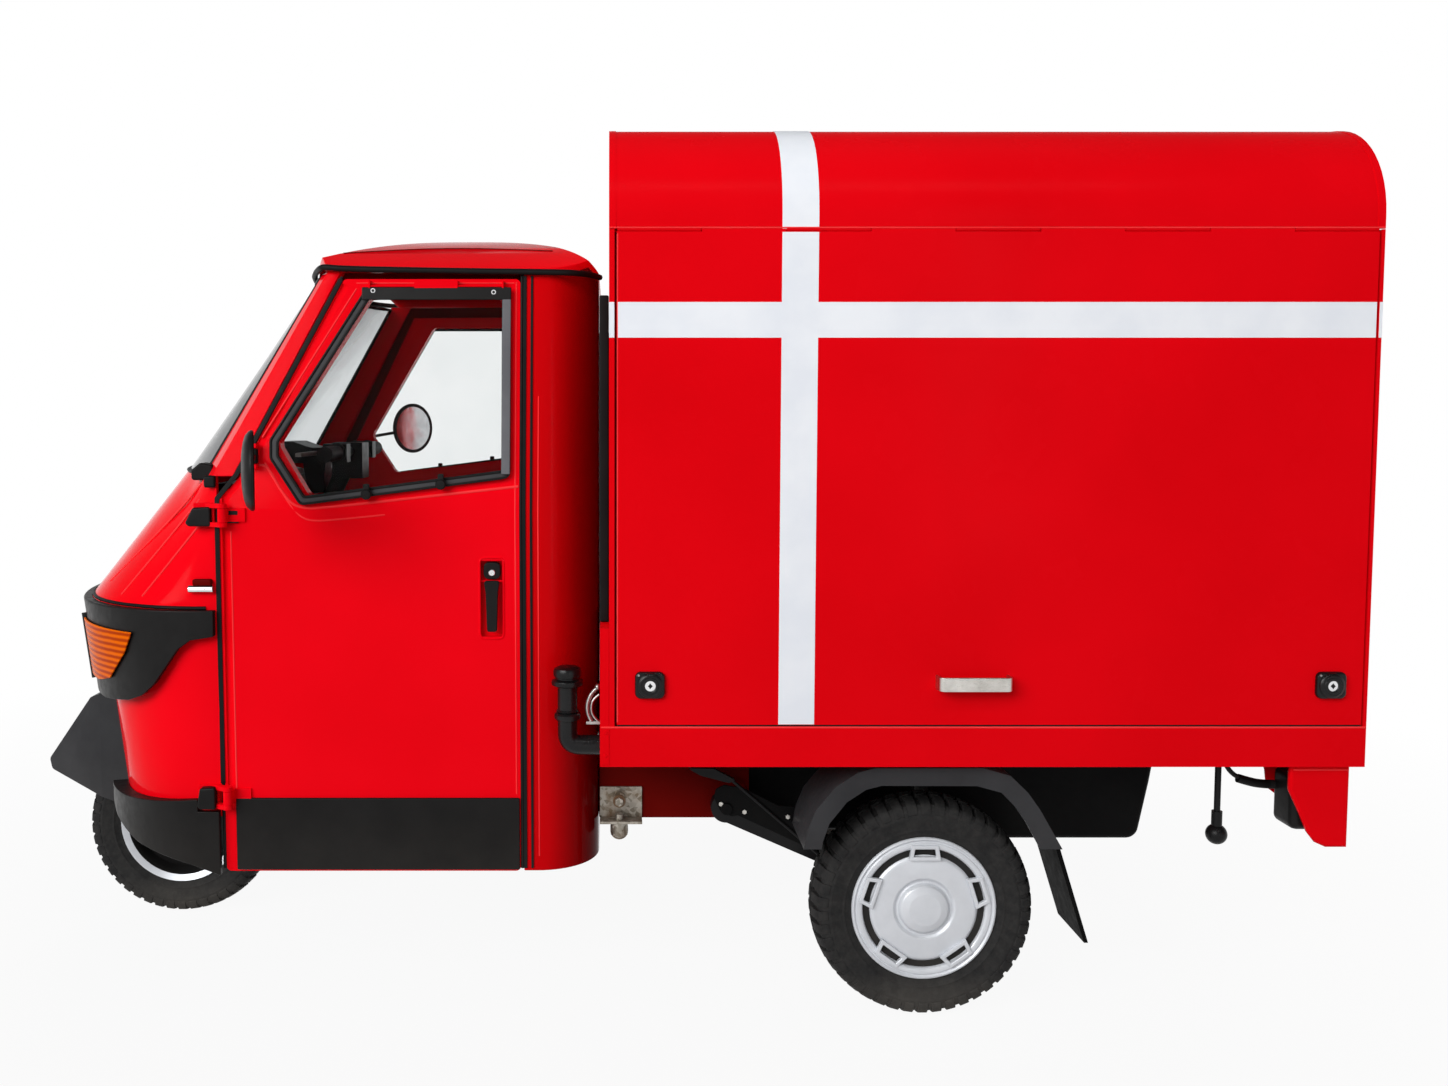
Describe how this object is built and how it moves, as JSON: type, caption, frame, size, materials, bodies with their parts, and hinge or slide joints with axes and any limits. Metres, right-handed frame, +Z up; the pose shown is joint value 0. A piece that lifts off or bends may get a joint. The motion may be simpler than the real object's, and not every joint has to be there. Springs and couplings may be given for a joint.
{
  "type": "food tuk-tuk",
  "caption": "Three-wheel street food van with a handlebar-steered cab, hinged doors and a boxed kitchen body with a top-hinged side serving hatch.",
  "frame": {"origin": "on the ground under the middle of the vehicle's length and width", "axes": "+X towards the rear (the front points to -X), +Y towards the vehicle's right side, +Z up"},
  "size_m": [2.701, 1.5708, 1.7069],
  "materials": {
    "paint_red": "gloss",
    "chassis_red": "satin",
    "panel_red": "gloss",
    "black_plastic": "matte",
    "screen_glass": "clear",
    "tyre_rubber": "matte",
    "rim_silver": "satin",
    "black_metal": "satin",
    "lock_chrome": "polished",
    "handle_steel": "brushed",
    "zinc_plate": "galvanised",
    "amber_lens": "gloss",
    "clear_lens": "gloss",
    "red_lens": "gloss",
    "seat_vinyl": "matte",
    "counter_steel": "brushed",
    "grip_rubber": "matte",
    "cast_alloy": "cast"
  },
  "bodies": {
    "vehicle": {"chassis_frame": "chassis_red", "cab_floor": "black_metal", "nose_shell": "paint_red", "lamp_band": "black_plastic", "headlamp": "clear_lens", "indicators": "amber_lens", "front_skirts": "black_plastic", "windscreen": "screen_glass", "windscreen_frame": "paint_red", "roof_panel": "paint_red", "cab_rear_wall": "paint_red", "door_hinges": "paint_red", "dashboard": "black_plastic", "seat_cushion": "seat_vinyl", "seat_back": "seat_vinyl", "deck": "paint_red", "box_walls": "panel_red", "box_roof": "panel_red", "hatch_frame": "panel_red", "serving_counter": "counter_steel", "rear_fenders": "black_plastic", "engine_unit": "cast_alloy", "fuel_tank": "black_plastic", "air_box": "black_plastic", "snorkel": "black_plastic", "side_bracket": "zinc_plate", "rear_brackets": "paint_red", "tail_lamps": "red_lens", "lamp_leads": "grip_rubber"},
    "steering": {"steering_stem": "black_metal", "handlebar": "black_metal", "front_mudguard": "black_plastic"},
    "front_link": {"front_link": "black_metal"},
    "front_wheel": {"front_tyre": "tyre_rubber", "front_rim": "rim_silver"},
    "throttle_grip": {"throttle_grip": "grip_rubber"},
    "gear_grip": {"gear_grip": "grip_rubber"},
    "clutch_lever": {"clutch_lever": "cast_alloy"},
    "rear_arm_left": {"rear_arm_left": "black_metal"},
    "rear_arm_right": {"rear_arm_right": "black_metal"},
    "rear_wheel_left": {"rear_tyre_left": "tyre_rubber", "rear_rim_left": "rim_silver"},
    "rear_wheel_right": {"rear_tyre_right": "tyre_rubber", "rear_rim_right": "rim_silver"},
    "door_left": {"door_left": "paint_red"},
    "door_right": {"door_right": "paint_red"},
    "door_handle_left": {"door_handle_left": "black_plastic"},
    "door_handle_right": {"door_handle_right": "black_plastic"},
    "window_left": {"window_left": "screen_glass"},
    "window_right": {"window_right": "screen_glass"},
    "mirror_left": {"mirror_left": "black_plastic"},
    "mirror_right": {"mirror_right": "black_plastic"},
    "hatch": {"hatch_panel": "panel_red", "hatch_handle": "handle_steel", "hatch_lock_plates": "black_plastic"},
    "hatch_lock_front": {"hatch_lock_front": "lock_chrome"},
    "hatch_lock_rear": {"hatch_lock_rear": "lock_chrome"},
    "wiper": {"wiper": "black_metal"},
    "brake_pedal": {"brake_pedal": "black_metal"},
    "handbrake": {"handbrake": "black_metal"},
    "deck_lever": {"deck_lever": "black_metal"}
  },
  "joints": [
    {"name": "steer", "type": "hinge", "parent": "vehicle", "child": "steering", "pos_m": [-1.039, 0, 0.215], "axis": [0.4226, 0, 0.9063], "range_deg": [-30, 30]},
    {"name": "front_link_swing", "type": "hinge", "parent": "steering", "child": "front_link", "pos_m": [-0.944, 0.118, 0.25], "axis": [0, 1, 0], "range_deg": [-5, 5], "stiffness_Nm_per_rad": 2500},
    {"name": "front_wheel_roll", "type": "hinge", "parent": "front_link", "child": "front_wheel", "pos_m": [-1.039, 0, 0.215], "axis": [0, 1, 0], "continuous": true},
    {"name": "throttle_twist", "type": "hinge", "parent": "steering", "child": "throttle_grip", "pos_m": [-0.63564, 0.228, 1.08], "axis": [0, 1, 0], "range_deg": [0, 70], "stiffness_Nm_per_rad": 0.4, "springref_deg": -5.73},
    {"name": "gear_twist", "type": "hinge", "parent": "steering", "child": "gear_grip", "pos_m": [-0.63564, -0.228, 1.08], "axis": [0, 1, 0], "range_deg": [-45, 45]},
    {"name": "clutch_pull", "type": "hinge", "parent": "steering", "child": "clutch_lever", "pos_m": [-0.68364, -0.148, 1.08], "axis": [0, 0, 1], "range_deg": [0, 10], "stiffness_Nm_per_rad": 3, "springref_deg": -5.73},
    {"name": "rear_arm_left_swing", "type": "hinge", "parent": "vehicle", "child": "rear_arm_left", "pos_m": [0.195, -0.432, 0.378], "axis": [0, 1, 0], "range_deg": [-2.5, 2.5], "stiffness_Nm_per_rad": 16000},
    {"name": "rear_arm_right_swing", "type": "hinge", "parent": "vehicle", "child": "rear_arm_right", "pos_m": [0.195, 0.432, 0.378], "axis": [0, 1, 0], "range_deg": [-2.5, 2.5], "stiffness_Nm_per_rad": 16000},
    {"name": "rear_wheel_left_roll", "type": "hinge", "parent": "rear_arm_left", "child": "rear_wheel_left", "pos_m": [0.567, -0.51, 0.215], "axis": [0, 1, 0], "continuous": true},
    {"name": "rear_wheel_right_roll", "type": "hinge", "parent": "rear_arm_right", "child": "rear_wheel_right", "pos_m": [0.567, 0.51, 0.215], "axis": [0, 1, 0], "continuous": true},
    {"name": "door_left_swing", "type": "hinge", "parent": "vehicle", "child": "door_left", "pos_m": [-0.778, -0.524, 0.7], "axis": [0, 0, -1], "range_deg": [0, 70]},
    {"name": "door_right_swing", "type": "hinge", "parent": "vehicle", "child": "door_right", "pos_m": [-0.778, 0.524, 0.7], "axis": [0, 0, 1], "range_deg": [0, 70]},
    {"name": "door_handle_left_pull", "type": "hinge", "parent": "door_left", "child": "door_handle_left", "pos_m": [-0.266, -0.50207, 0.843], "axis": [-1, 0, 0], "range_deg": [0, 25], "stiffness_Nm_per_rad": 0.6, "springref_deg": -11.46},
    {"name": "door_handle_right_pull", "type": "hinge", "parent": "door_right", "child": "door_handle_right", "pos_m": [-0.266, 0.50207, 0.843], "axis": [1, 0, 0], "range_deg": [0, 25], "stiffness_Nm_per_rad": 0.6, "springref_deg": -11.46},
    {"name": "window_left_tilt", "type": "hinge", "parent": "door_left", "child": "window_left", "pos_m": [-0.375, -0.45491, 1.413], "axis": [-1, 0, 0], "range_deg": [0, 20]},
    {"name": "window_right_tilt", "type": "hinge", "parent": "door_right", "child": "window_right", "pos_m": [-0.375, 0.45491, 1.413], "axis": [1, 0, 0], "range_deg": [0, 20]},
    {"name": "mirror_left_fold", "type": "hinge", "parent": "door_left", "child": "mirror_left", "pos_m": [-0.722, -0.50658, 1.085], "axis": [0, 0, -1], "range_deg": [0, 25]},
    {"name": "mirror_right_fold", "type": "hinge", "parent": "door_right", "child": "mirror_right", "pos_m": [-0.722, 0.50658, 1.085], "axis": [0, 0, 1], "range_deg": [0, 25]},
    {"name": "hatch_lift", "type": "hinge", "parent": "vehicle", "child": "hatch", "pos_m": [0.66, -0.6265, 1.497], "axis": [-1, 0, 0], "range_deg": [0, 90]},
    {"name": "hatch_lock_front_turn", "type": "hinge", "parent": "hatch", "child": "hatch_lock_front", "pos_m": [0.036, -0.6, 0.668], "axis": [0, 1, 0], "range_deg": [0, 90]},
    {"name": "hatch_lock_rear_turn", "type": "hinge", "parent": "hatch", "child": "hatch_lock_rear", "pos_m": [1.287, -0.6, 0.668], "axis": [0, -1, 0], "range_deg": [0, 90]},
    {"name": "wiper_sweep", "type": "hinge", "parent": "vehicle", "child": "wiper", "pos_m": [-0.94388, 0, 1.0873], "axis": [0.8035, 0, -0.5954], "range_deg": [0, 116]},
    {"name": "brake_pedal_push", "type": "hinge", "parent": "vehicle", "child": "brake_pedal", "pos_m": [-0.69, 0.15, 0.317], "axis": [0, -1, 0], "range_deg": [0, 15], "stiffness_Nm_per_rad": 8, "springref_deg": -8.59},
    {"name": "handbrake_pull", "type": "hinge", "parent": "vehicle", "child": "handbrake", "pos_m": [-0.47, 0.35, 0.321], "axis": [0, -1, 0], "range_deg": [0, 25]},
    {"name": "deck_lever_swing", "type": "hinge", "parent": "vehicle", "child": "deck_lever", "pos_m": [1.151, -0.5, 0.536], "axis": [0, 1, 0], "range_deg": [-25, 25]}
  ]
}
